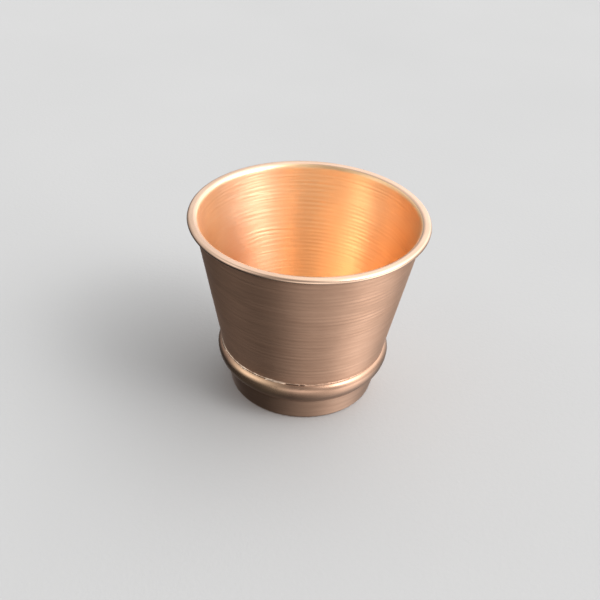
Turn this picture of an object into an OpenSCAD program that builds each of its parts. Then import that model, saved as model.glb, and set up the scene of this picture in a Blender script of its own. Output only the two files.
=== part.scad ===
// Bar jigger: a spun copper measuring cup soldered into a separate spun copper foot.
// Origin at the centre of the rest face, +Z up, millimetres.
// Every piece is turned about Z, so each outline is a list of [radius, height] points.

/* [Cup] */
// Outer diameter of the rolled rim
rim_d = 56; // [54:0.5:58]
// Height from the rest face to the top of the rim
total_h = 46; // [44:0.5:50]
// Thickness of the copper sheet
sheet_t = 0.6; // [0.5:0.05:0.7]
// How far the rolled rim stands out from the cup's wall
rim_proud = 1.9; // [1.6:0.1:2.4]
// How far the top of the wall is drawn in from a straight taper
wall_draw = 0.3; // [0:0.05:0.5]
// Height of that drawn-in stretch, measured down from the rim's underside
draw_h = 6.3; // [4:0.1:10]
// Gap between the wall and the raw edge that is folded under the rim
fold_gap = 0.25; // [0.1:0.05:0.5]
// Outer radius of the corner between the floor and the wall
corner_r = 2.4; // [2:0.1:2.8]

/* [Foot] */
// Outer diameter of the cup where the foot's lip meets it
seam_d = 39.8; // [39.4:0.1:40.2]
// Height of that seam
seam_h = 12; // [11.8:0.1:12.4]
// Diameter of the bead at its widest line
bead_d = 41.9; // [41.6:0.1:42.6]
// Height of the widest line
bead_h = 10.5; // [10.2:0.1:10.8]
// Diameter of the crease between the bead and the skirt
crease_d = 38.1; // [37.6:0.1:38.4]
// Height of the crease
crease_h = 6.5; // [6.2:0.1:6.8]
// Diameter of the skirt just above its rounded bottom edge
base_d = 35.4; // [34.6:0.1:36.4]
// Outer radius of the rounded bottom edge
base_edge_r = 0.9; // [0.8:0.05:1.2]
// Width of the flange turned in at the bottom, which the jigger stands on
flange_w = 3.2; // [2.4:0.1:5]

/* [Solder] */
// Leg of the solder fillet in the seam outside
seam_leg = 0.4; // [0.3:0.05:0.6]
// Height of the inner solder fillet on the skirt, below the crease
inner_leg = 1.6; // [1:0.1:2.2]

/* [Hidden] */
$fn = 128;

// Solder film left between the cup's corner and the foot's shoulder
film = 0.03;
// Turns of the seam that the solder fills, as [from, to] in degrees about Z
solder_runs = [[-86, 205], [225, 229], [247, 258]];

// Cup: radii and heights worked out from the sizes above
rim_r = rim_d / 2;
seam_r = seam_d / 2;
hem_z = total_h - 2 * sheet_t;
wall_top_r = rim_r - rim_proud;
draw_z = hem_z - draw_h;
wall_slope = (wall_top_r + wall_draw - seam_r) / (hem_z - seam_h);
wall_angle = atan(wall_slope);
wall_step = sheet_t / cos(wall_angle);

// Foot: the bead is two arcs that meet at its widest line
bead_r = bead_d / 2;
crease_r = crease_d / 2;
base_r = base_d / 2;
lip_rise = seam_h - bead_h;
lip_arc_r = arc_radius(bead_r - seam_r, lip_rise);
lip_angle = asin(lip_rise / lip_arc_r);
belly_drop = bead_h - crease_h;
belly_arc_r = arc_radius(bead_r - crease_r, belly_drop);
belly_angle = asin(belly_drop / belly_arc_r);
skirt_angle = atan((crease_r - base_r) / (crease_h - base_edge_r));

// The cup's corner rests on the inside of the foot's crease: its centre lies on the line a
// corner radius inside the wall, and one corner radius, film and sheet from the crease.
seat_reach = corner_r + film + sheet_t;
seat_offset = crease_r - (seam_r - wall_slope * seam_h - corner_r / cos(wall_angle));
seat_a = wall_slope * wall_slope + 1;
seat_b = seat_offset * wall_slope + crease_h;
seat_c = seat_offset * seat_offset + crease_h * crease_h - seat_reach * seat_reach;
corner_z = (seat_b + sqrt(seat_b * seat_b - seat_a * seat_c)) / seat_a;
corner_x = wall_r(corner_z) - corner_r / cos(wall_angle);
floor_z = corner_z - corner_r;

// Radius of the arc that leaves its widest point upright and is in by `inset` after `rise`
function arc_radius(inset, rise) = (inset * inset + rise * rise) / (2 * inset);

// Points of an arc about [x, z], both ends included
function arc(x, z, r, from, to, steps = 8) =
    [for (i = [0 : steps]) let (a = from + (to - from) * i / steps) [x + r * cos(a), z + r * sin(a)]];

// Outer radius of the cup's wall: a straight taper, drawn in a little below the rim
function wall_r(z) =
    seam_r + wall_slope * (z - seam_h) - wall_draw * pow(max(0, (z - draw_z) / draw_h), 2);

// The wall above the corner, shifted in by `inset`
function wall_line(inset, steps = 8) =
    [for (i = [0 : steps]) let (z = draw_z + draw_h * i / steps) [wall_r(z) - inset, z]];

// Outside of the cup from the floor's centre to the rim's underside
function cup_outside() =
    concat([[0, floor_z]], arc(corner_x, corner_z, corner_r, -90, -wall_angle), wall_line(0));

// Inside of the cup, in the same direction
function cup_inside() =
    concat([[0, floor_z + sheet_t]],
           arc(corner_x, corner_z, corner_r - sheet_t, -90, -wall_angle), wall_line(wall_step));

// The rim: the sheet bends out over the wall, turns under and is pressed flat against itself,
// and its raw edge stops just short of the wall
function hem() =
    let (bend_r = 2 * sheet_t, bend_x = wall_top_r - wall_step + bend_r, edge_x = wall_top_r + fold_gap)
    concat([[wall_top_r, hem_z + sheet_t], [edge_x, hem_z + sheet_t], [edge_x, hem_z]],
           arc(rim_r - sheet_t, total_h - sheet_t, sheet_t, -90, 90, 12),
           arc(bend_x, total_h - bend_r, bend_r, 90, 174, 8));

function reversed(list) = [for (i = [len(list) - 1 : -1 : 0]) list[i]];

// Everything that the cup fills, hollow included, cut off level at the rim's underside
module cup_envelope() polygon(concat(cup_outside(), [[0, hem_z]]));

// One face of the foot's sheet, `inset` inside its outer face, from the lip to the flange
function foot_face(inset) =
    concat(arc(bead_r - lip_arc_r, bead_h, lip_arc_r - inset, lip_angle + 20, 0, 10),
           arc(bead_r - belly_arc_r, bead_h, belly_arc_r - inset, 0, -belly_angle, 12),
           arc(crease_r, crease_h, inset, 180 - belly_angle, 180 - skirt_angle, 3),
           arc(base_r - base_edge_r * cos(skirt_angle), base_edge_r, base_edge_r - inset,
               -skirt_angle, -90, 6),
           [[base_r - flange_w, inset]]);

module foot_section() {
    difference() {
        polygon(concat(foot_face(0), reversed(foot_face(sheet_t))));
        cup_envelope();
    }
}

// Solder between two points of the sheets around it, which are cut away from it
module solder_section(points) {
    difference() {
        polygon(points);
        cup_envelope();
        polygon(concat(foot_face(0), reversed(foot_face(sheet_t))));
    }
}

module cup_shell() {
    color([0.80, 0.53, 0.40])
    rotate_extrude()
    polygon(concat(cup_outside(), hem(), reversed(cup_inside())));
}

module foot_ring() {
    color([0.74, 0.48, 0.36])
    rotate_extrude()
    foot_section();
}

module outer_seam_solder() {
    top = seam_h + seam_leg;
    reach = lip_angle - seam_leg / lip_arc_r * 180 / PI;
    toe = arc(bead_r - lip_arc_r, bead_h, lip_arc_r, reach, reach, 1)[0];
    color([0.88, 0.78, 0.66])
    for (run = solder_runs)
        rotate([0, 0, run[0]])
        rotate_extrude(angle = run[1] - run[0])
        solder_section([[wall_r(top), top], toe, [seam_r - sheet_t / 2, seam_h]]);
}

module inner_solder_fillet() {
    toe_z = crease_h - inner_leg;
    toe_r = crease_r - inner_leg * tan(skirt_angle) - sheet_t / 2;
    color([0.78, 0.70, 0.62])
    rotate_extrude()
    solder_section([[corner_x + corner_r * cos(68), corner_z - corner_r * sin(68)],
                    [toe_r, toe_z], [crease_r, crease_h], [corner_x + corner_r / 2, corner_z]]);
}

cup_shell();
foot_ring();
outer_seam_solder();
inner_solder_fillet();
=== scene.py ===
"""Looks of the bar jigger: a spun copper cup soldered into a spun copper foot.

Lengths are millimetres as far as add_object(), which makes the meshes, and metres in the
materials, the light and the camera. Angles are degrees about +Z unless a docstring says
radians: 0 is the right-hand side, 90 the back and 270 the front. Each visible piece is
turned from its own outline, a list of (radius, height) points, and then given the
unevenness of sheet that was spun, rolled and soldered by hand.
"""

import math

import bpy
import numpy as np
from mathutils import Matrix, Vector


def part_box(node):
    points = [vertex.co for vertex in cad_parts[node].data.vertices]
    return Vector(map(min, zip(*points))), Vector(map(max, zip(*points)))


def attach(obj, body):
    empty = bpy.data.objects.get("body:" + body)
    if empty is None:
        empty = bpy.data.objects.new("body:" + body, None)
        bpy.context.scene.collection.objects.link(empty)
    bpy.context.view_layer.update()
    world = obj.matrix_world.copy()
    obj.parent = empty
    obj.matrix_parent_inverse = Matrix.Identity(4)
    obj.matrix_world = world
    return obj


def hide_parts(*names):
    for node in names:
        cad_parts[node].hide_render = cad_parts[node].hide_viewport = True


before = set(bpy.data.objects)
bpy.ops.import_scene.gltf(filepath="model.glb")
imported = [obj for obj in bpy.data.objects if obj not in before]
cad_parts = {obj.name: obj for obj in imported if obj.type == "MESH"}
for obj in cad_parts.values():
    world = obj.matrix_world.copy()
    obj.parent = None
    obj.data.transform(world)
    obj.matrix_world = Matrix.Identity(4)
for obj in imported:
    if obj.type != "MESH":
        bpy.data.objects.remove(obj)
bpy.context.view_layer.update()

MM = 0.001


# ---------------------------------------------------------------- sizes, from the CAD frame

def top_of(node):
    """Height of a CAD node's highest point."""
    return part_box(node)[1].z / MM


def bottom_of(node):
    """Height of a CAD node's lowest point."""
    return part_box(node)[0].z / MM


def radius_of(node):
    """Largest radius of a CAD node."""
    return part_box(node)[1].x / MM


RIM_R = radius_of("cup_shell")
RIM_Z = top_of("cup_shell")
FLOOR_Z = bottom_of("cup_shell")
BEAD_R = radius_of("foot_ring")
SEAM_Z = top_of("foot_ring")

# Sizes of the sheet work that the boxes don't show, as the CAD part has them
SHEET = 0.6
RIM_PROUD = 1.9
WALL_DRAW = 0.3
DRAW_H = 6.3
FOLD_GAP = 0.25
CORNER_R = 2.4
SEAM_R = 19.9
SEAM_LEG = 0.4
INNER_LEG = 1.6
BEAD_Z = 10.5
CREASE_R = 19.05
CREASE_Z = 6.5
BASE_R = 17.7
BASE_EDGE_R = 0.9
FLANGE_W = 3.2

# Roundings that the CAD part leaves out: the two corners of the slot between the wall and
# the folded edge, the raw edge itself, and how far the crease is softened to either side
SLOT_WALL_R = 0.1
SLOT_EDGE_R = 0.05
RAW_EDGE_R = 0.12
CREASE_REACH = 0.4

# Worked out from those, as the CAD part does. WALL_ACROSS is the wall's thickness, level.
HEM_Z = RIM_Z - 2 * SHEET
WALL_TOP_R = RIM_R - RIM_PROUD
DRAW_Z = HEM_Z - DRAW_H
WALL_SLOPE = (WALL_TOP_R + WALL_DRAW - SEAM_R) / (HEM_Z - SEAM_Z)
WALL_ANGLE = math.degrees(math.atan(WALL_SLOPE))
WALL_ACROSS = SHEET / math.cos(math.radians(WALL_ANGLE))
CORNER_Z = FLOOR_Z + CORNER_R
SKIRT_ANGLE = math.degrees(math.atan((CREASE_R - BASE_R) / (CREASE_Z - BASE_EDGE_R)))

# How finely the pieces are cut: rows up the wall, steps round the axis, and steps across
# the faces of the two solders
WALL_ROWS = 215
CUP_SEGMENTS = 184
FOOT_SEGMENTS = 300
SEAM_SEGMENTS = 720
INNER_SOLDER_SEGMENTS = 360
SEAM_FACE_STEPS = 12
INNER_FACE_STEPS = 11

# How much of the radius counts in the way along the sheet, next to the height
LEVEL_SHARE = 0.8


def wall_r(z):
    """Outer radius of the cup's wall: a straight taper, drawn in a little below the rim."""
    drawn = np.maximum(0.0, (z - DRAW_Z) / DRAW_H) ** 2
    return SEAM_R + WALL_SLOPE * (z - SEAM_Z) - WALL_DRAW * drawn


def arc_radius(inset, rise):
    """Radius of the arc that leaves its widest point upright and is in by inset after rise."""
    return (inset * inset + rise * rise) / (2 * inset)


CORNER_X = wall_r(CORNER_Z) - CORNER_R / math.cos(math.radians(WALL_ANGLE))
LIP_ARC_R = arc_radius(BEAD_R - SEAM_R, SEAM_Z - BEAD_Z)
LIP_ANGLE = math.degrees(math.asin((SEAM_Z - BEAD_Z) / LIP_ARC_R))
BELLY_ARC_R = arc_radius(BEAD_R - CREASE_R, BEAD_Z - CREASE_Z)
BELLY_ANGLE = math.degrees(math.asin((BEAD_Z - CREASE_Z) / BELLY_ARC_R))


# ---------------------------------------------------------------- outlines

def arc(x, z, r, start, end, steps):
    """Points of an arc about (x, z), both ends included."""
    angles = np.radians(np.linspace(start, end, steps + 1))
    return [(x + r * math.cos(a), z + r * math.sin(a)) for a in angles]


def line(p, q, steps):
    """Points from p to q, both ends left out."""
    return [(p[0] + (q[0] - p[0]) * i / steps, p[1] + (q[1] - p[1]) * i / steps)
            for i in range(1, steps)]


def wall_line(inset):
    """The wall from just above its corner to the rim, `inset` inside its outer face."""
    corner_top = CORNER_Z - CORNER_R * math.sin(math.radians(WALL_ANGLE))
    heights = np.linspace(corner_top + 0.1, HEM_Z, WALL_ROWS + 1)
    return [(float(wall_r(z)) - inset, z) for z in heights]


def cup_outline():
    """The cup's sheet in three stretches: outside from its centre up, rolled rim, inside."""
    slot_top = HEM_Z + SHEET
    edge_x = WALL_TOP_R + FOLD_GAP
    bend_r = 2 * SHEET
    bend_x = WALL_TOP_R - WALL_ACROSS + bend_r
    outside = [(0.0, FLOOR_Z)] + line((0.0, FLOOR_Z), (CORNER_X, FLOOR_Z), 10)
    outside += arc(CORNER_X, CORNER_Z, CORNER_R, -90, -WALL_ANGLE, 8)
    outside += wall_line(0.0)
    rim = arc(WALL_TOP_R + SLOT_WALL_R, slot_top - SLOT_WALL_R, SLOT_WALL_R, 180, 90, 2)
    rim += arc(edge_x - SLOT_EDGE_R, slot_top - SLOT_EDGE_R, SLOT_EDGE_R, 90, 0, 2)
    rim += arc(edge_x + RAW_EDGE_R, HEM_Z + RAW_EDGE_R, RAW_EDGE_R, 180, 270, 3)
    rim += arc(RIM_R - SHEET, RIM_Z - SHEET, SHEET, -90, 90, 26)
    rim += arc(bend_x, RIM_Z - bend_r, bend_r, 90, 174, 14)
    inside = wall_line(WALL_ACROSS)[::-1]
    inside += arc(CORNER_X, CORNER_Z, CORNER_R - SHEET, -WALL_ANGLE, -90, 7)
    inside += line((CORNER_X, FLOOR_Z + SHEET), (0.0, FLOOR_Z + SHEET), 12)
    inside += [(0.0, FLOOR_Z + SHEET)]
    return outside, rim, inside


def foot_face(inset, fine):
    """One face of the foot's sheet from lip to flange, `inset` inside its outer face.

    A face with `fine` 2 has twice the rows of one with 1. Only the outer face's crease is
    softened.
    """
    base_x = BASE_R - BASE_EDGE_R * math.cos(math.radians(SKIRT_ANGLE))
    flange_end = (BASE_R - FLANGE_W, inset)
    lip = arc(BEAD_R - LIP_ARC_R, BEAD_Z, LIP_ARC_R - inset, LIP_ANGLE, 0, 12 * fine)
    belly = arc(BEAD_R - BELLY_ARC_R, BEAD_Z, BELLY_ARC_R - inset, 0, -BELLY_ANGLE, 16 * fine)
    edge = arc(base_x, BASE_EDGE_R, BASE_EDGE_R - inset, -SKIRT_ANGLE, -90, 8)
    if inset:
        crease = arc(CREASE_R, CREASE_Z, inset, 180 - BELLY_ANGLE, 180 - SKIRT_ANGLE, 4)
    else:
        crease = softened_crease(belly.pop(), edge[0])
        belly = belly[:-3 * fine]
    skirt = line(crease[-1], edge[0], 12 * fine)
    flange = line(edge[-1], flange_end, 8) + [flange_end]
    return lip + belly[1:] + crease + skirt + edge + flange


def softened_crease(corner, base):
    """The crease between bead and skirt, rounded as a spinning tool leaves it."""
    a = math.radians(-BELLY_ANGLE + math.degrees(CREASE_REACH / BELLY_ARC_R))
    start = (BEAD_R - BELLY_ARC_R + BELLY_ARC_R * math.cos(a), BEAD_Z + BELLY_ARC_R * math.sin(a))
    way = np.subtract(base, corner) / np.linalg.norm(np.subtract(base, corner))
    end = tuple(np.add(corner, way * CREASE_REACH))
    t = np.linspace(0, 1, 13)[:, None]
    curve = (1 - t) ** 2 * start + 2 * t * (1 - t) * np.array(corner) + t ** 2 * end
    return [tuple(p) for p in curve.tolist()]


def bulging(start, end, steps, bulge):
    """Points from start to end, both included. bulge(way) moves each outward and up."""
    points = []
    for way in np.linspace(0, 1, steps + 1):
        x = start[0] + (end[0] - start[0]) * way
        z = start[1] + (end[1] - start[1]) * way
        out = bulge(way)
        points.append((x + out, z + out))
    return points


# ---------------------------------------------------------------- unevenness

def short_way(turn):
    """The same turn, between -180 and 180 degrees."""
    return (turn + 180) % 360 - 180


def turn_between(angle, centre):
    """Degrees from centre, in degrees, to angle, in radians, the short way round."""
    return short_way(np.degrees(angle) - centre)


def window(distance, half_width):
    """1 at distance 0, fading to nearly 0 past half_width."""
    return np.exp(-2 * (distance / half_width) ** 2)


def tool_rings(seed, pitches, height):
    """Rings that a spinning tool leaves: a function of the way along the sheet and the angle."""
    rng = np.random.default_rng(seed)
    phase = rng.uniform(0, 2 * math.pi, (len(pitches), 3))
    turns = rng.integers(2, 7, (len(pitches), 2))

    def value(along, angle):
        total = np.zeros_like(along)
        for pitch, p, t in zip(pitches, phase, turns):
            drift = 0.5 * np.sin(t[0] * angle + p[1])
            fade = 0.6 + 0.4 * np.sin(t[1] * angle + p[2] + along / pitch / 4)
            total += fade * np.sin(2 * math.pi * along / pitch + p[0] + drift)
        return total * height / len(pitches)

    return value


def wobble(seed, count, most_waves):
    """A smooth random function of the angle in degrees, about -1 to 1."""
    rng = np.random.default_rng(seed)
    turns = rng.integers(2, most_waves, count)
    phase = rng.uniform(0, 2 * math.pi, count)
    return lambda a: float(np.mean(np.sin(np.radians(a) * turns + phase)) * 1.8)


def patches(z, angle, places):
    """How strongly the tool marked each point. places: (angle, reach, height, reach, strength)."""
    total = np.zeros_like(z)
    for centre, reach, height, rise, strength in places:
        total += strength * window(turn_between(angle, centre), reach) * window(z - height, rise)
    return total


def scratches(z, angle, marks):
    """Scored lines: (from angle, to angle, from height, to height, width, depth).

    Each is a small step in the sheet, so it catches light on one side only. A positive depth
    gives a dark line under light from above, a negative one a bright line.
    """
    total = np.zeros_like(z)
    for start, end, low, high, width, depth in marks:
        across = turn_between(angle, (start + end) / 2) / (end - start) + 0.5
        inside = np.clip(np.minimum(across, 1 - across) * 5, 0, 1)
        middle = low + (high - low) * np.clip(across, 0, 1)
        t = (z - middle) / width
        total += depth * inside * t * np.exp(-t * t)
    return total


def specks(z, angle, radius, places):
    """Small raised dots or pits: (angle, height, size, rise)."""
    total = np.zeros_like(z)
    for centre, height, size, rise in places:
        round_way = np.radians(turn_between(angle, centre)) * radius
        total += rise * np.exp(-(round_way ** 2 + (z - height) ** 2) / size ** 2)
    return total


# ---------------------------------------------------------------- turned meshes

def outline_normals(p, closed):
    """Unit normals of an outline, to the right of its direction."""
    step = np.roll(p, -1, 0) - np.roll(p, 1, 0) if closed else np.gradient(p, axis=0)
    length = np.maximum(np.hypot(step[:, 0], step[:, 1]), 1e-9)
    return np.stack([step[:, 1], -step[:, 0]], -1) / length[:, None]


def add_object(name, verts, faces):
    """An object with smooth shading, from points in millimetres."""
    mesh = bpy.data.meshes.new(name)
    mesh.from_pydata((verts * MM).tolist(), [], faces)
    mesh.validate()
    mesh.shade_smooth()
    obj = bpy.data.objects.new(name, mesh)
    bpy.context.scene.collection.objects.link(obj)
    return obj


def turned(name, outline, segments, closed, unevenness):
    """Turn an outline about Z. unevenness(r, z, angle, normals) moves points along normals.

    An open outline starts and ends on the axis. A closed one runs round a ring of sheet. The
    faces come row by row, and after them, on an open outline, a face of each end in turn.
    """
    p = np.asarray(outline, float)
    normals = outline_normals(p, closed)
    poles = [] if closed else [p[0], p[-1]]
    if not closed:
        p, normals = p[1:-1], normals[1:-1]
    angle = np.linspace(0, 2 * math.pi, segments, endpoint=False)
    r, a = np.meshgrid(p[:, 0], angle, indexing="ij")
    z = np.repeat(p[:, 1:2], segments, 1)
    move = unevenness(r, z, a, normals)
    r2 = r + move * normals[:, 0:1]
    z2 = z + move * normals[:, 1:2]
    verts = np.stack([r2 * np.cos(a), r2 * np.sin(a), z2], -1).reshape(-1, 3)
    ring = np.arange(len(p) * segments).reshape(-1, segments)
    here = ring if closed else ring[:-1]
    there = np.roll(ring, -1, 0) if closed else ring[1:]
    quads = np.stack([here, np.roll(here, -1, 1), np.roll(there, -1, 1), there], -1)
    faces = quads.reshape(-1, 4).tolist()
    if poles:
        first, last = len(verts), len(verts) + 1
        verts = np.vstack([verts, [[0, 0, poles[0][1]], [0, 0, poles[1][1]]]])
        for k in range(segments):
            m = (k + 1) % segments
            faces.append((first, int(ring[0, m]), int(ring[0, k])))
            faces.append((last, int(ring[-1, k]), int(ring[-1, m])))
    return add_object(name, verts, faces)


def ring_of_sections(name, section, segments):
    """A closed ring whose section, a list of (radius, height), changes with the angle."""
    rows = np.array([section(a) for a in np.linspace(0, 360, segments, endpoint=False)])
    a = np.linspace(0, 2 * math.pi, segments, endpoint=False)[:, None]
    verts = np.stack([rows[..., 0] * np.cos(a), rows[..., 0] * np.sin(a), rows[..., 1]], -1)
    here = np.arange(verts.shape[0] * verts.shape[1]).reshape(verts.shape[:2])
    there = np.roll(here, -1, 0)
    quads = np.stack([here, there, np.roll(there, -1, 1), np.roll(here, -1, 1)], -1)
    return add_object(name, verts.reshape(-1, 3), quads.reshape(-1, 4).tolist())


# ---------------------------------------------------------------- pieces

def cup_slots(face_count, outside_rows, rim_rows):
    """A material slot for each of the cup's faces: 0 outside, 1 rim, 2 inside.

    The rim's metal starts on the raw edge and ends about halfway down the bend to the inside.
    """
    first_rim_row = outside_rows + 5
    first_inner_row = outside_rows + rim_rows - 10
    row = np.arange(face_count) // CUP_SEGMENTS
    slots = np.searchsorted((first_rim_row, first_inner_row), row, side="right")
    slots[-2 * CUP_SEGMENTS:] = np.tile((0, 2), CUP_SEGMENTS)
    return slots


def make_cup():
    """The cup, with a material slot for each face."""
    outside, rim, inside = cup_outline()
    outer_rings = tool_rings(11, (1.15, 1.4), 0.09)
    inner_rings = tool_rings(23, (1.15, 1.4), 0.035)
    hem_waves = tool_rings(31, (0.9, 1.3), 0.035)
    # How much of the rings shows away from the places where the tool pressed hard
    outer_least = 0.12
    inner_least = 0.15
    outer_places = [(303, 26, 31, 16, 1.0), (262, 30, 26, 20, 0.35), (215, 26, 33, 12, 0.3),
                    (120, 34, 30, 16, 0.9), (30, 30, 24, 14, 0.7), (165, 26, 22, 12, 0.5)]
    inner_places = [(84, 15, 29, 18, 2.2), (58, 12, 33, 10, 1.3), (122, 22, 34, 16, 0.3),
                    (160, 24, 26, 14, 0.35), (20, 26, 28, 16, 0.7), (300, 30, 26, 16, 0.8),
                    (230, 30, 30, 16, 0.7)]
    outer_marks = [(296, 322, 21.4, 21.9, 0.25, -0.06), (294, 318, 20.2, 20.7, 0.25, -0.06),
                   (289, 318, 29.6, 30.2, 0.25, -0.06), (291, 321, 26.9, 27.5, 0.25, -0.05),
                   (60, 88, 18.0, 18.4, 0.3, 0.05), (140, 165, 35.5, 35.2, 0.3, 0.05)]
    inner_marks = [(98, 129, 29.0, 29.7, 0.3, 0.07), (104, 127, 27.9, 28.7, 0.3, 0.06),
                   (114, 130, 39.1, 39.6, 0.3, -0.05), (113, 129, 35.9, 35.8, 0.3, 0.05),
                   (121, 133, 28.0, 27.5, 0.3, -0.05), (53, 66, 36.9, 37.3, 0.3, 0.05),
                   (52, 64, 29.4, 29.9, 0.3, 0.05), (250, 281, 24.0, 24.6, 0.3, 0.05)]
    outer_specks = [(284.9, 14.2, 0.3, 0.05), (203, 31.0, 0.25, 0.03)]
    # The line where the two layers of the rim meet: how far it lies below the rim's top, how
    # wide and deep it is, the angle where it shows most, and how far about it
    fold_drop = 0.72
    fold_width = 0.07
    fold_depth = 0.05
    fold_angle = 232
    fold_reach = 45
    # Where the inside ripples most: how far below the rim's underside, and how far about it
    ripple_drop = 1.6
    ripple_reach = 2.6
    # How far the rim is out of round
    ovality = 0.04

    def unevenness(r, z, a, normals):
        along = z + LEVEL_SHARE * r
        is_inside = np.zeros_like(z, bool)
        is_inside[len(outside) + len(rim) - 1:] = True
        outer_move = outer_rings(along, a) * (outer_least + patches(z, a, outer_places))
        outer_move += scratches(z, a, outer_marks)
        outer_move += specks(z, a, r, outer_specks)
        near_rim = window(z - HEM_Z + ripple_drop, ripple_reach)
        inner_move = inner_rings(along, a) * (inner_least + patches(z, a, inner_places))
        inner_move += scratches(z, a, inner_marks) + near_rim * hem_waves(along, 7 * a)
        wall_move = np.where(is_inside, inner_move, outer_move)
        outermost = np.clip(r - RIM_R + 0.5, 0, 0.2) / 0.2
        fold = np.exp(-((z - RIM_Z + fold_drop) / fold_width) ** 2) * outermost
        fold *= 0.25 + 0.75 * window(turn_between(a, fold_angle), fold_reach)
        rim_move = 0.3 * hem_waves(along, 3 * a) - fold_depth * fold
        on_rim = np.clip((z - HEM_Z) / SHEET, 0, 1)
        oval = ovality * np.cos(2 * a + 0.6) * (z / RIM_Z) ** 2
        return wall_move * (1 - on_rim) + rim_move * on_rim + oval * normals[:, 0:1]

    cup = turned("cup_shell_spun", outside + rim + inside, CUP_SEGMENTS, False, unevenness)
    return cup, cup_slots(len(cup.data.polygons), len(outside), len(rim))


def make_foot():
    """The foot: bead, crease, skirt and flange in one sheet."""
    rings = tool_rings(47, (0.8, 1.1, 1.7), 0.0036)
    marks = [(285, 299, 10.35, 10.75, 0.07, 0.035), (60, 84, 8.6, 8.4, 0.12, 0.015),
             (150, 170, 9.7, 9.9, 0.1, 0.02)]
    dots = [(255, 11.15, 0.16, 0.07), (253.2, 11.0, 0.12, -0.05), (271, 11.2, 0.2, 0.06),
            (268.5, 11.35, 0.12, -0.06), (236, 11.3, 0.15, 0.03), (205, 11.2, 0.15, 0.03),
            (92, 11.2, 0.2, 0.05), (96, 11.0, 0.14, -0.04), (352, 11.3, 0.15, 0.04)]
    # How far the foot is out of round
    ovality = 0.02

    def unevenness(r, z, a, normals):
        is_outside = (normals[:, 0:1] > 0) | (normals[:, 1:2] < -0.5)
        marked = rings(z + LEVEL_SHARE * r, a) + scratches(z, a, marks) + specks(z, a, r, dots)
        oval = ovality * np.cos(2 * a + 1.9) * normals[:, 0:1]
        above_rest_face = np.clip(z / SHEET, 0, 1)
        return (np.where(is_outside, marked, 0) + oval) * above_rest_face

    outline = foot_face(SHEET, 1) + foot_face(0.0, 2)[::-1]
    return turned("foot_ring_spun", outline, FOOT_SEGMENTS, True, unevenness)


def make_seam_solder():
    """Solder round the seam: a thin fillet, parted from the lip where it didn't wet it.

    It comes with a material slot for each face: 1 is near-black painted shade at the bottom of the
    parted stretches, and 0 the rest.
    """
    # Parted stretches: (angle, half width)
    gaps = [(214, 10), (221.5, 2.5), (233.5, 4.5), (242, 3.5), (264, 4.5), (270.8, 1.6),
            (127, 6), (18, 4)]
    # Where the fillet is thinnest, and how far to either side it thins
    thin_angle = -20
    thin_reach = 80
    height = wobble(5, 14, 60)
    lumps = wobble(8, 20, 160)

    def parting(a):
        return max(math.exp(-(short_way(a - c) / w) ** 4) for c, w in gaps)

    def section(a):
        parted = parting(a)
        thickness = 1 - 0.85 * float(window(short_way(a - thin_angle), thin_reach))
        leg = SEAM_LEG * (0.85 + 0.25 * height(a)) * thickness
        turn = math.radians(LIP_ANGLE) - leg / LIP_ARC_R
        toe_x = BEAD_R - LIP_ARC_R + LIP_ARC_R * math.cos(turn)
        toe_z = BEAD_Z + LIP_ARC_R * math.sin(turn)
        top_z = SEAM_Z + leg
        crown = 0.035 * (1 + 0.5 * lumps(a)) * thickness

        def bulge(way):
            full = crown * math.sin(math.pi * way)
            ridge = 0.063 * math.exp(-((way - 0.3) / 0.2) ** 2)
            groove = 0.21 * math.exp(-((way - 0.68) / 0.17) ** 2)
            return full * (1 - parted) + (ridge - groove) * parted

        face = bulging((float(wall_r(top_z)), top_z), (toe_x, toe_z), SEAM_FACE_STEPS, bulge)
        hidden = [(toe_x - 0.15, toe_z - 0.25), (SEAM_R - 0.25, SEAM_Z - 0.2),
                  (SEAM_R - 0.25, top_z)]
        return (face + hidden)[::-1]

    run = ring_of_sections("seam_solder_run", section, SEAM_SEGMENTS)
    width = len(section(0))
    row, place = np.divmod(np.arange(SEAM_SEGMENTS * width), width)
    way = (width - 1 - place) / SEAM_FACE_STEPS
    in_groove = (way > 0.45) & (way < 0.95)
    parted = np.array([parting(a) for a in np.linspace(0, 360, SEAM_SEGMENTS, endpoint=False)])
    return run, np.where(in_groove & (parted[row] > 0.5), 1, 0)


def make_inner_solder():
    """The wide fillet under the cup, seen only from below."""
    lumps = wobble(3, 16, 40)
    toe_z = CREASE_Z - INNER_LEG
    toe_r = CREASE_R - INNER_LEG * math.tan(math.radians(SKIRT_ANGLE)) - SHEET
    cup_angle = math.radians(-68)
    cup_x = CORNER_X + CORNER_R * math.cos(cup_angle)
    cup_z = CORNER_Z + CORNER_R * math.sin(cup_angle)
    hidden = [(toe_r + 0.2, toe_z + 0.3), (CREASE_R - 0.4, CREASE_Z - 0.1),
              (cup_x + 0.4, cup_z + 0.5)]

    def section(a):
        ripple = 0.12 * lumps(a)
        toe = (toe_r + 0.3 * ripple, toe_z + ripple)

        def sag(way):
            wave = math.sin(3 * math.pi * way + math.radians(9 * a))
            return 0.168 * math.sin(math.pi * way) + 0.03 * wave

        return bulging((cup_x - 0.05, cup_z), toe, INNER_FACE_STEPS, sag) + hidden

    return ring_of_sections("inner_solder_run", section, INNER_SOLDER_SEGMENTS)


# ---------------------------------------------------------------- materials

# One copper throughout, in lit and shaded copies: the inside's tone and, less so, the rim's are
# painted lighter as painted light, and the tone of the outside and the foot is painted darker as
# painted shade. The dull tones vary at random.
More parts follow.
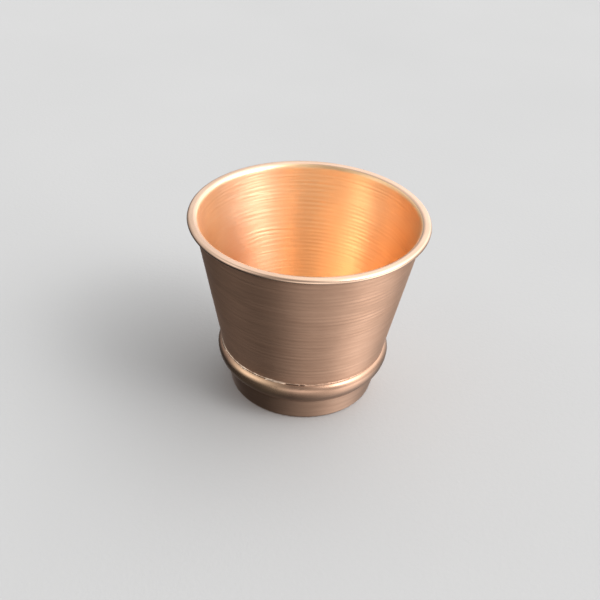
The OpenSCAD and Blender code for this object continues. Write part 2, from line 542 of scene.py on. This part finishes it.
OUTER = (0.435, 0.270, 0.188)
OUTER_DULL = (0.350, 0.213, 0.146)
INNER = (0.955, 0.672, 0.465)
INNER_DULL = (0.935, 0.62, 0.402)
RIM = (0.72, 0.50, 0.37)
RIM_DULL = (0.62, 0.42, 0.30)
# Warm tones of the painted reflections inside the cup and on the foot's bead
INSIDE_REFLECTION_TONE = (0.94, 0.635, 0.29)
BEAD_REFLECTION_TONE = (0.97, 0.65, 0.41)
SEAM_SOLDER = (0.95, 0.73, 0.56)
INNER_SOLDER = (0.62, 0.60, 0.57)
FLUX_STAIN = (0.20, 0.13, 0.09)
# Near black: painted shade for the bottom of the seam's gaps
GAP_SHADE_TONE = (0.03, 0.018, 0.012)
FLOOR_TONE = (0.42, 0.42, 0.42)
FLOOR_TONE_DARKER = (0.40, 0.40, 0.40)

# Patches of warmer colour painted in as reflections, inside the cup and on the foot's bead: the
# angle of the middle, half the width in degrees, the lowest height in metres, the colour and its
# share
PAINTED_REFLECTION_INSIDE = (50, 60, 0.0, INSIDE_REFLECTION_TONE, 0.5)
PAINTED_REFLECTION_ON_BEAD = (237, 17, 0.0085, BEAD_REFLECTION_TONE, 0.65)


class Nodes:
    """Short ways to add nodes to one material."""

    def __init__(self, name):
        self.mat = bpy.data.materials.new(name)
        self.mat.use_nodes = True
        self.tree = self.mat.node_tree
        self.tree.nodes.clear()
        out = self.add("ShaderNodeOutputMaterial")
        self.shader = self.add("ShaderNodeBsdfPrincipled")
        self.link(self.shader.outputs[0], out.inputs[0])

    def add(self, kind, **settings):
        """A new node with these attributes."""
        node = self.tree.nodes.new(kind)
        for key, value in settings.items():
            setattr(node, key, value)
        return node

    def link(self, source, target):
        """Join an output to an input."""
        self.tree.links.new(source, target)

    def put(self, socket, value):
        """Give an input a number or colour, or join it to an output."""
        if isinstance(value, bpy.types.NodeSocket):
            self.link(value, socket)
        else:
            socket.default_value = value

    def math(self, kind, a, b=0.0):
        """A sum, product or the like of two outputs or numbers."""
        node = self.add("ShaderNodeMath", operation=kind)
        self.put(node.inputs[0], a)
        self.put(node.inputs[1], b)
        return node.outputs[0]

    def position(self):
        """Object coordinates in metres, as one vector."""
        return self.add("ShaderNodeTexCoord").outputs["Object"]

    def place(self):
        """Object coordinates in metres, as x, y, z."""
        split = self.add("ShaderNodeSeparateXYZ")
        self.link(self.position(), split.inputs[0])
        return split.outputs

    def radius(self):
        """Distance from the axis, in metres."""
        x, y, _ = self.place()
        squares = self.math("ADD", self.math("MULTIPLY", x, x), self.math("MULTIPLY", y, y))
        return self.math("SQRT", squares)

    def sector(self, middle, half_width, lowest):
        """1 within half_width degrees of the angle `middle` and above a height, 0 elsewhere."""
        soft_degrees = 10
        soft_height = 0.001
        x, y, z = self.place()
        a = math.radians(middle)
        towards = self.math("ADD", self.math("MULTIPLY", x, math.cos(a)),
                            self.math("MULTIPLY", y, math.sin(a)))
        nearness = self.math("DIVIDE", towards, self.math("MAXIMUM", self.radius(), 1e-5))
        outer = math.cos(math.radians(half_width + soft_degrees))
        inner = math.cos(math.radians(half_width - soft_degrees))
        return self.math("MULTIPLY", self.remap(nearness, outer, inner),
                         self.remap(z, lowest - soft_height, lowest + soft_height))

    def ring_place(self, around, across):
        """Coordinates that change slowly round the axis and quickly across the spun rings."""
        x, y, z = self.place()
        r = self.radius()
        safe = self.math("MAXIMUM", r, 1e-5)
        along = self.math("ADD", z, self.math("MULTIPLY", r, LEVEL_SHARE))
        joined = self.add("ShaderNodeCombineXYZ")
        for i, value in enumerate((x, y)):
            unit = self.math("DIVIDE", value, safe)
            self.link(self.math("MULTIPLY", unit, around), joined.inputs[i])
        self.link(self.math("MULTIPLY", along, across), joined.inputs[2])
        return joined.outputs[0]

    def noise(self, place, scale=1.0, detail=3.0, rough=0.6):
        """Noise about 0.5 at a place."""
        node = self.add("ShaderNodeTexNoise")
        node.inputs["Scale"].default_value = scale
        node.inputs["Detail"].default_value = detail
        node.inputs["Roughness"].default_value = rough
        self.link(place, node.inputs["Vector"])
        return node.outputs["Fac"]

    def remap(self, value, low, high, out_low=0.0, out_high=1.0):
        """A value stretched from one range to another, and kept inside the second."""
        node = self.add("ShaderNodeMapRange")
        self.link(value, node.inputs["Value"])
        for key, number in zip(("From Min", "From Max", "To Min", "To Max"),
                               (low, high, out_low, out_high)):
            node.inputs[key].default_value = number
        return node.outputs[0]

    def mix(self, factor, a, b):
        """Colour a at factor 0, colour b at factor 1."""
        node = self.add("ShaderNodeMix", data_type="RGBA")
        self.put(node.inputs["Factor"], factor)
        for socket, value in ((node.inputs[6], a), (node.inputs[7], b)):
            self.put(socket, value if isinstance(value, bpy.types.NodeSocket) else (*value, 1))
        return node.outputs[2]

    def bump(self, height, distance):
        """Let a height, times a distance in metres, tilt the shading."""
        node = self.add("ShaderNodeBump")
        node.inputs["Strength"].default_value = 1.0
        node.inputs["Distance"].default_value = distance
        self.link(height, node.inputs["Height"])
        self.link(node.outputs[0], self.shader.inputs["Normal"])

    def brushed(self, amount):
        """Reflections spread across the spun lines and stay narrow along them."""
        self.shader.inputs["Anisotropic"].default_value = amount
        self.shader.inputs["Anisotropic Rotation"].default_value = 0.25
        tangent = self.add("ShaderNodeTangent", direction_type="RADIAL", axis="Z")
        self.link(tangent.outputs[0], self.shader.inputs["Tangent"])


def spun_copper(name, tone, dull_tone, rough, stroke_depth, shortness, brushing,
                polished_above=None, painted_reflection=None):
    """Satin spun sheet: fine lines and short strokes round it, streaky gloss, drifting colour.

    `rough` is its range of roughness, stroke_depth the depth of the strokes in metres,
    `shortness` how often they change on the way round, and `brushing` how far reflections
    spread across the lines. Above the height polished_above, in metres, handling has rubbed
    it glossier. The last argument is a patch of warmer colour, a painted reflection.
    """
    n = Nodes(name)
    fine = n.noise(n.ring_place(6.0, 2400.0), detail=4.0, rough=0.65)
    strokes = n.noise(n.ring_place(shortness, 1300.0), detail=1.5, rough=0.5)
    streaks = n.noise(n.ring_place(3.0, 500.0), detail=4.0)
    cloud = n.noise(n.position(), scale=70.0, rough=0.55)
    uneven_strokes = n.math("MULTIPLY", strokes, n.remap(cloud, 0.4, 0.6, 0.3, 1.0))
    lines = n.math("ADD", uneven_strokes, n.math("MULTIPLY", fine, 0.12))
    away_from_axis = n.remap(n.radius(), 0.0, 0.012)
    n.bump(n.math("MULTIPLY", lines, away_from_axis), stroke_depth)
    fine_share = n.math("ADD", n.math("MULTIPLY", streaks, 0.3), n.math("MULTIPLY", strokes, 0.35))
    dullness = n.math("ADD", n.math("MULTIPLY", cloud, 0.35), fine_share)
    colour = n.mix(n.remap(dullness, 0.38, 0.62), tone, dull_tone)
    # Painted reflection: a sector of warmer colour mixed into the base colour
    if painted_reflection:
        middle, half_width, lowest, reflection_tone, share = painted_reflection
        shown = n.math("MULTIPLY", n.sector(middle, half_width, lowest), share)
        colour = n.mix(shown, colour, reflection_tone)
    n.link(colour, n.shader.inputs["Base Color"])
    gloss = n.remap(streaks, 0.3, 0.7, *rough)
    if polished_above:
        height = n.place()[2]
        rubbed = n.remap(height, polished_above - 0.001, polished_above + 0.001, 1.0, 0.72)
        gloss = n.math("MULTIPLY", gloss, rubbed)
    n.link(gloss, n.shader.inputs["Roughness"])
    n.shader.inputs["Metallic"].default_value = 1.0
    n.brushed(brushing)
    return n.mat


def solder_metal(name, tone, rough, painted_shade_side=None):
    """Solder wiped with a cloth: pale metal with brown flux left in its pits.

    Going from the first to the second x of the given side, its tone fades to the outside copper's
    darker tone, where the fillet also thins: painted shade that dims its highlight on the right.
    """
    n = Nodes(name)
    stains = n.noise(n.position(), scale=700.0, detail=4.0, rough=0.65)
    n.bump(n.noise(n.position(), scale=2500.0), 0.00003)
    # Painted shade: towards the right the solder's tone fades to the outside copper's darker tone
    if painted_shade_side:
        tone = n.mix(n.remap(n.place()[0], *painted_shade_side), tone, OUTER)
    stained = n.mix(n.remap(stains, 0.5, 0.68, 0.0, 0.8), tone, FLUX_STAIN)
    n.link(stained, n.shader.inputs["Base Color"])
    n.link(n.remap(stains, 0.3, 0.7, *rough), n.shader.inputs["Roughness"])
    n.shader.inputs["Metallic"].default_value = 1.0
    return n.mat


def painted_gap_shade():
    """Matt near black: painted shade at the bottom of the seam's gaps."""
    n = Nodes("painted_gap_shade")
    n.shader.inputs["Base Color"].default_value = (*GAP_SHADE_TONE, 1)
    n.shader.inputs["Roughness"].default_value = 0.7
    return n.mat


def floor_paper():
    """Plain matt paper."""
    n = Nodes("floor_paper")
    drift = n.remap(n.noise(n.position(), scale=6.0), 0.3, 0.7)
    n.link(n.mix(drift, FLOOR_TONE, FLOOR_TONE_DARKER), n.shader.inputs["Base Color"])
    n.shader.inputs["Roughness"].default_value = 0.95
    n.shader.inputs["Specular IOR Level"].default_value = 0.1
    n.bump(n.noise(n.position(), scale=900.0), 0.00005)
    return n.mat


def put_materials(obj, mats, slots=None):
    """Give an object its materials, and its faces their slots."""
    obj.data.materials.clear()
    for mat in mats:
        obj.data.materials.append(mat)
    if slots is not None:
        obj.data.polygons.foreach_set("material_index", slots.astype(np.int32))


# ---------------------------------------------------------------- stage, light and camera

CAMERA_ELEVATION = math.radians(34.14)
CAMERA_ROLL = math.radians(2.95)
CAMERA_DISTANCE = 0.2418
CAMERA_AIM = Vector((-0.00121, 0.0, 0.02226))
CAMERA_LENS = 59.87

# Soft light, as patches of a round studio: azimuth (0 the camera's side, 90 the right),
# elevation, how tight the patch is, brightness
LIGHT_PATCHES = [(64, 44, 50.0, 9.5), (78, 42, 8.0, 3.7), (74, -33, 8.0, 2.8),
                 (145, 45, 4.2, 2.2), (-72, 28, 7.0, 1.3), (-130, 32, 10.0, 0.55),
                 (7, -14, 8.0, 1.8), (158, 2, 10.0, 0.7), (180, -34, 14.0, 0.5),
                 (66, 14, 20.0, 1.2), (5, 20, 8.0, 0.3)]
LIGHT_BASE = 0.03

FLOOR_HALF_WIDTH = 1.5


def make_camera():
    """The photograph's viewpoint, from the front and above."""
    ce, se = math.cos(CAMERA_ELEVATION), math.sin(CAMERA_ELEVATION)
    ahead = Vector((0, ce, -se))
    right = Vector((1, 0, 0))
    up = right.cross(ahead)
    cr, sr = math.cos(CAMERA_ROLL), math.sin(CAMERA_ROLL)
    x_axis = right * cr + up * sr
    y_axis = up * cr - right * sr
    cam = bpy.data.objects.new("camera", bpy.data.cameras.new("camera"))
    cam.data.lens = CAMERA_LENS
    cam.data.sensor_width = 36
    cam.data.clip_start = 0.01
    turn = Matrix((x_axis, y_axis, -ahead)).transposed().to_4x4()
    cam.matrix_world = Matrix.Translation(CAMERA_AIM - ahead * CAMERA_DISTANCE) @ turn
    bpy.context.scene.collection.objects.link(cam)
    bpy.context.scene.camera = cam


def make_studio():
    """A round studio whose walls glow softly in a few wide patches."""
    world = bpy.data.worlds.new("studio")
    bpy.context.scene.world = world
    world.use_nodes = True
    tree = world.node_tree
    way = tree.nodes.new("ShaderNodeTexCoord").outputs["Generated"]

    def math_node(operation, first, second):
        node = tree.nodes.new("ShaderNodeMath")
        node.operation = operation
        tree.links.new(first, node.inputs[0])
        if isinstance(second, bpy.types.NodeSocket):
            tree.links.new(second, node.inputs[1])
        else:
            node.inputs[1].default_value = second
        return node.outputs[0]

    total = LIGHT_BASE
    for azimuth, elevation, tightness, brightness in LIGHT_PATCHES:
        a, e = math.radians(azimuth), math.radians(elevation)
        dot = tree.nodes.new("ShaderNodeVectorMath")
        dot.operation = "DOT_PRODUCT"
        tree.links.new(way, dot.inputs[0])
        dot.inputs[1].default_value = (math.sin(a) * math.cos(e), -math.cos(a) * math.cos(e),
                                       math.sin(e))
        value = math_node("SUBTRACT", dot.outputs["Value"], 1.0)
        value = math_node("MULTIPLY", value, tightness)
        value = math_node("EXPONENT", value, 0.0)
        value = math_node("MULTIPLY", value, brightness)
        total = math_node("ADD", value, total)
    back = tree.nodes["Background"]
    tree.links.new(total, back.inputs["Strength"])
    back.inputs["Color"].default_value = (1, 1, 1, 1)


def make_floor():
    """A pale floor. The copper doesn't mirror it, and it doesn't block the low light."""
    s = FLOOR_HALF_WIDTH
    mesh = bpy.data.meshes.new("floor")
    mesh.from_pydata([(-s, -s, 0), (s, -s, 0), (s, s, 0), (-s, s, 0)], [], [(0, 1, 2, 3)])
    floor = bpy.data.objects.new("floor", mesh)
    bpy.context.scene.collection.objects.link(floor)
    put_materials(floor, [floor_paper()])
    floor.visible_glossy = False
    floor.visible_shadow = False


def place_piece(piece, node):
    """Fix a visible piece to the part, in place of its CAD node."""
    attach(piece, "root")
    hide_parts(node)


# ---------------------------------------------------------------- the scene

make_camera()
make_studio()
make_floor()
bpy.context.scene.view_settings.view_transform = "Standard"

outside_copper = spun_copper("cup_outside_copper", OUTER, OUTER_DULL, rough=(0.46, 0.54),
                             stroke_depth=0.0001, shortness=1.3, brushing=0.8)
rim_copper = spun_copper("cup_rim_copper", RIM, RIM_DULL, rough=(0.16, 0.26),
                         stroke_depth=0.00001, shortness=2.0, brushing=0.3)
inside_copper = spun_copper("cup_inside_copper", INNER, INNER_DULL, rough=(0.32, 0.38),
                            stroke_depth=0.00009, shortness=2.2, brushing=0.9,
                            painted_reflection=PAINTED_REFLECTION_INSIDE)
foot_copper = spun_copper("foot_copper", OUTER, OUTER_DULL, rough=(0.34, 0.42),
                          stroke_depth=0.00002, shortness=2.0, brushing=0.45,
                          polished_above=CREASE_Z * MM + 0.002, painted_reflection=PAINTED_REFLECTION_ON_BEAD)
seam_metal = solder_metal("seam_solder", SEAM_SOLDER, rough=(0.26, 0.4),
                          painted_shade_side=(-0.008, 0.002))
inner_metal = solder_metal("inner_solder", INNER_SOLDER, rough=(0.35, 0.5))
# Near-black painted shade for the bottom of the seam's gaps
flux = painted_gap_shade()

cup, cup_face_slots = make_cup()
put_materials(cup, [outside_copper, rim_copper, inside_copper], cup_face_slots)
place_piece(cup, "cup_shell")

foot = make_foot()
put_materials(foot, [foot_copper])
place_piece(foot, "foot_ring")

seam, seam_face_slots = make_seam_solder()
put_materials(seam, [seam_metal, flux], seam_face_slots)
place_piece(seam, "outer_seam_solder")

inner_run = make_inner_solder()
put_materials(inner_run, [inner_metal])
place_piece(inner_run, "inner_solder_fillet")
